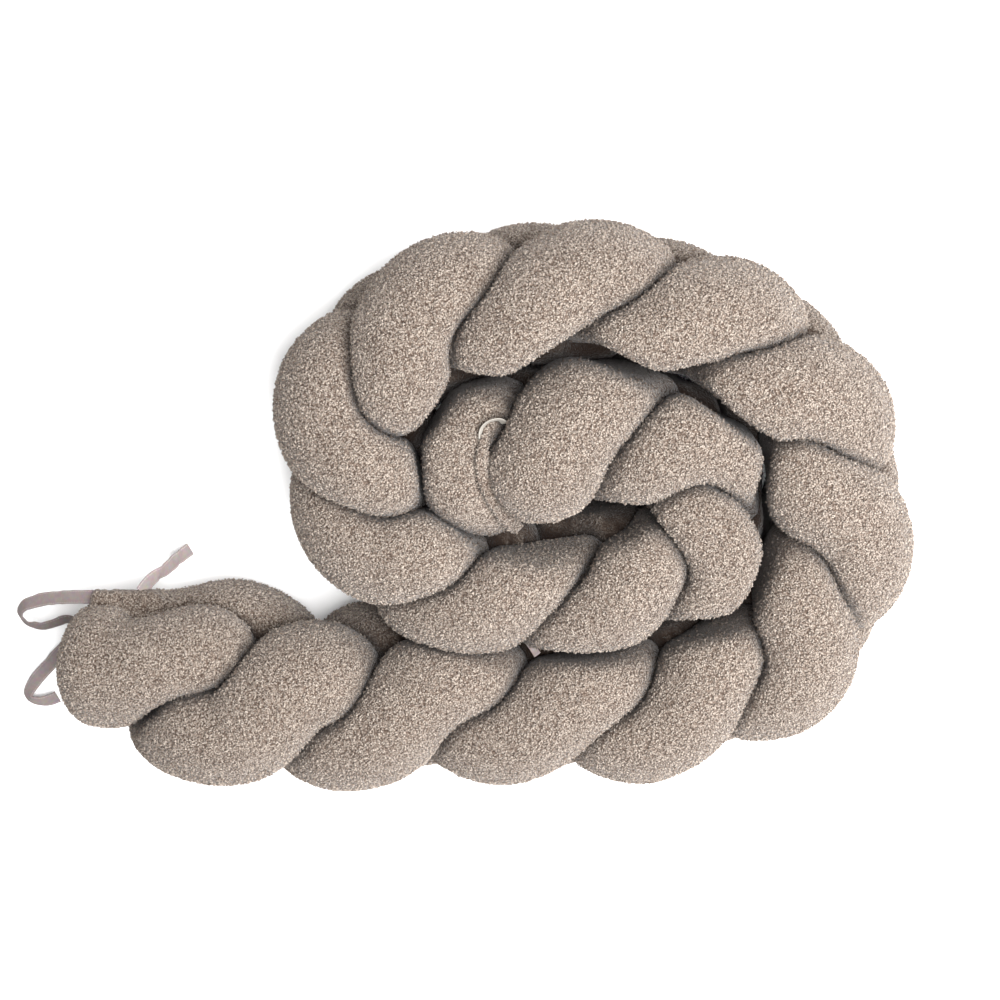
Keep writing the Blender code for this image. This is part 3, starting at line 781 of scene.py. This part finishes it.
UPPER_TIE = (
    Route(-320, -85, 72, 25),
    Route(-314, -77, 61, 22),
    Route(-306, -73.5, 46, 18),
    Route(-299, -70, 28, 14),
    Route(-294, -68, 13, 8),
    Route(-289, -65.5, 4, 3),
)
LOWER_TIE = (
    Route(-362, -90, 70, 35),
    Route(-388, -93, 62, 30),
    Route(-408, -97, 54, 28),
    Route(-424, -102, 47, 34),
    Route(-438, -110, 39, 50),
    Route(-444, -121, 30, 50),
    Route(-439, -133, 22, 42),
    Route(-424, -137, 15, 38),
    Route(-405, -134, 9, 35),
    Route(-397, -146, 6, 15),
    Route(-411, -162, 4, 4),
    Route(-432, -184, 4, 4),
    Route(-448, -203, 5, 20),
    Route(-451, -213, 6.5, 40),
    Route(-440, -218, 5.5, 25),
    Route(-424, -214, 4, 6),
)
INNER_TIE = (
    Route(20, -112, 103.3, 0),
    Route(24, -118, 103.3, 0),
    Route(28, -124, 104, 0),
    Route(31, -128.5, 105.5, 0),
    Route(33, -131, 107.5, 0),
)

# Plain cotton, matt and a little mauve: a fine weave of 0.5 mm, and a row of short stitches just
# inside both edges of the fold. The strip's own map gives the length along and across it in metres
COTTON, THREAD = "#756b69", "#a39a97"
WEAVE, STITCH, STITCH_INSET = 0.0005, 0.0026, 0.0014
THREAD_HALF = 0.00022  # half the thread's thickness
STITCH_SHOWN = 0.33  # half of what shows of a stitch, as a share of the pitch
THREAD_SUNK = -2.0  # height of the stitched line, as a share of the weave's relief
WORN_PATCH, WORN = 1 / 300, 0.35  # size and strength of its lighter and darker patches

cotton, tree, shader = shaded("cotton_tie_cloth", roughness=0.9, specular=0.15)
along = add(tree, "ShaderNodeUVMap", {"uv_map": "strip"}).outputs["UV"]
weave = add(tree, "ShaderNodeTexChecker", None, {"Vector": along, "Scale": 1 / WEAVE})
split = add(tree, "ShaderNodeSeparateXYZ", None, {0: along})
edge = add(tree, "ShaderNodeMath", {"operation": "ABSOLUTE"}, {0: split.outputs[1]})
off = add(tree, "ShaderNodeMath", {"operation": "SUBTRACT"},
          {0: edge.outputs[0], 1: TIE_WIDTH / 2 - STITCH_INSET})
near = add(tree, "ShaderNodeMath", {"operation": "COMPARE"}, {0: off.outputs[0], 1: 0.0, 2: THREAD_HALF})
step = add(tree, "ShaderNodeMath", {"operation": "PINGPONG"}, {0: split.outputs[0], 1: STITCH / 2})
dash = add(tree, "ShaderNodeMath", {"operation": "LESS_THAN"},
           {0: step.outputs[0], 1: STITCH * STITCH_SHOWN})
stitch = add(tree, "ShaderNodeMath", {"operation": "MULTIPLY"}, {0: near.outputs[0], 1: dash.outputs[0]})
place = add(tree, "ShaderNodeTexCoord").outputs["Object"]
worn = add(tree, "ShaderNodeTexNoise", None, {"Vector": place, "Scale": 1 / WORN_PATCH, "Detail": 3})
cloth = add(tree, "ShaderNodeMix", {"data_type": "RGBA", "blend_type": "SOFT_LIGHT"},
            {0: WORN, 6: linear(COTTON), 7: worn.outputs["Color"]})
sewn = add(tree, "ShaderNodeMix", {"data_type": "RGBA"},
           {0: stitch.outputs[0], 6: cloth.outputs[2], 7: linear(THREAD)})
relief = add(tree, "ShaderNodeMath", {"operation": "MULTIPLY_ADD"},
             {0: near.outputs[0], 1: THREAD_SUNK, 2: weave.outputs[1]})
woven = add(tree, "ShaderNodeBump", None,
            {"Height": relief.outputs[0], "Strength": 0.5, "Distance": 0.0002})
tree.links.new(sewn.outputs[2], shader.inputs["Base Color"])
tree.links.new(woven.outputs[0], shader.inputs["Normal"])


def add_strip(name, route, width, thickness, finish, node, crumple):
    """A strip of cloth along a route, with a map of it in metres, and its length."""
    rows = even(in_metres(route), TIE_PITCH)
    creases = np.array([noise.noise_vector(Vector(row[:3]) / CRUMPLE_SIZE) for row in rows])
    to_end = np.minimum(np.linspace(0, 1, len(rows)), np.linspace(1, 0, len(rows)))
    rows[:, :3] += creases * (crumple * np.minimum(1, to_end / CALM_ENDS))[:, None]
    rows[:, 2] = np.maximum(rows[:, 2], thickness / 2 + STRIP_LIFT)
    rows[:, 3] += CRUMPLE_TWIST * creases[:, 2] * crumple / CRUMPLE_DEPTH
    widths = width * (1 - CRUMPLE_FOLD * np.abs(creases[:, 0]))
    points, across = ribbon_points(rows, widths, thickness, TIE_SIDES, TIE_SQUARE)
    points[:, 2] = np.maximum(points[:, 2], STRIP_LOWEST)
    piece = add_piece(name, [rows[0, :3], *points, rows[-1, :3]], loft_faces(len(rows), TIE_SIDES),
                      finish, node)
    length = lengths(rows)
    along = np.concatenate([[0], np.repeat(length, TIE_SIDES), length[-1:]])
    across = np.concatenate([[0], across, [0]])
    layer = piece.data.uv_layers.new(name="strip")
    for corner in piece.data.loops:
        layer.data[corner.index].uv = along[corner.vertex_index], across[corner.vertex_index]
    return piece, float(length[-1])


noise.seed_set(CRUMPLE_SEED)
upper_tie, upper_length = add_strip("tail_tie_upper_cloth", UPPER_TIE, TIE_WIDTH, TIE_THICKNESS, cotton,
                                    "tail_tie_upper", CRUMPLE_DEPTH)
lower_tie, lower_length = add_strip("tail_tie_lower_cloth", LOWER_TIE, TIE_WIDTH, TIE_THICKNESS, cotton,
                                    "tail_tie_lower", CRUMPLE_DEPTH)
add_strip("inner_tie_cloth", INNER_TIE, INNER_TIE_WIDTH, TIE_THICKNESS, cotton,
          "inner_tie", INNER_CRUMPLE)

# ---- The tape loop ----------------------------------------------------------------------------
# A small loop of cream tape is sewn in the inner end seam, to hang the bumper up or tie it. It
# is narrower and thinner than the ties, and both its ends go into the cloth of the inner end.
LOOP_WIDTH = 0.0065
LOOP_THICKNESS = 0.0010
INNER_LOOP = (
    Route(-16, 72, 137, 60),
    Route(-15, 80, 139, 62),
    Route(-10, 85.5, 139, 65),
    Route(-4, 87, 136.5, 60),
    Route(1, 85.5, 132, 45),
    Route(4, 82, 128, 30),
)

# Cream tape, matt: a fine cross rib of 0.6 mm, which only a close look shows
CREAM, RIB = "#86817a", 0.0006
WAVE = 0.314  # length of one band of the wave texture at scale 1

tape, tree, shader = shaded("cream_tape", roughness=0.8, specular=0.2)
along = add(tree, "ShaderNodeUVMap", {"uv_map": "strip"}).outputs["UV"]
ribs = add(tree, "ShaderNodeTexWave", {"bands_direction": "X"}, {"Vector": along, "Scale": WAVE / RIB})
ribbed = add(tree, "ShaderNodeBump", None,
             {"Height": ribs.outputs[1], "Strength": 0.4, "Distance": 0.0002})
tree.links.new(ribbed.outputs[0], shader.inputs["Normal"])
shader.inputs["Base Color"].default_value = linear(CREAM)

add_strip("inner_loop_tape", INNER_LOOP, LOOP_WIDTH, LOOP_THICKNESS, tape, "inner_loop", 0.0)
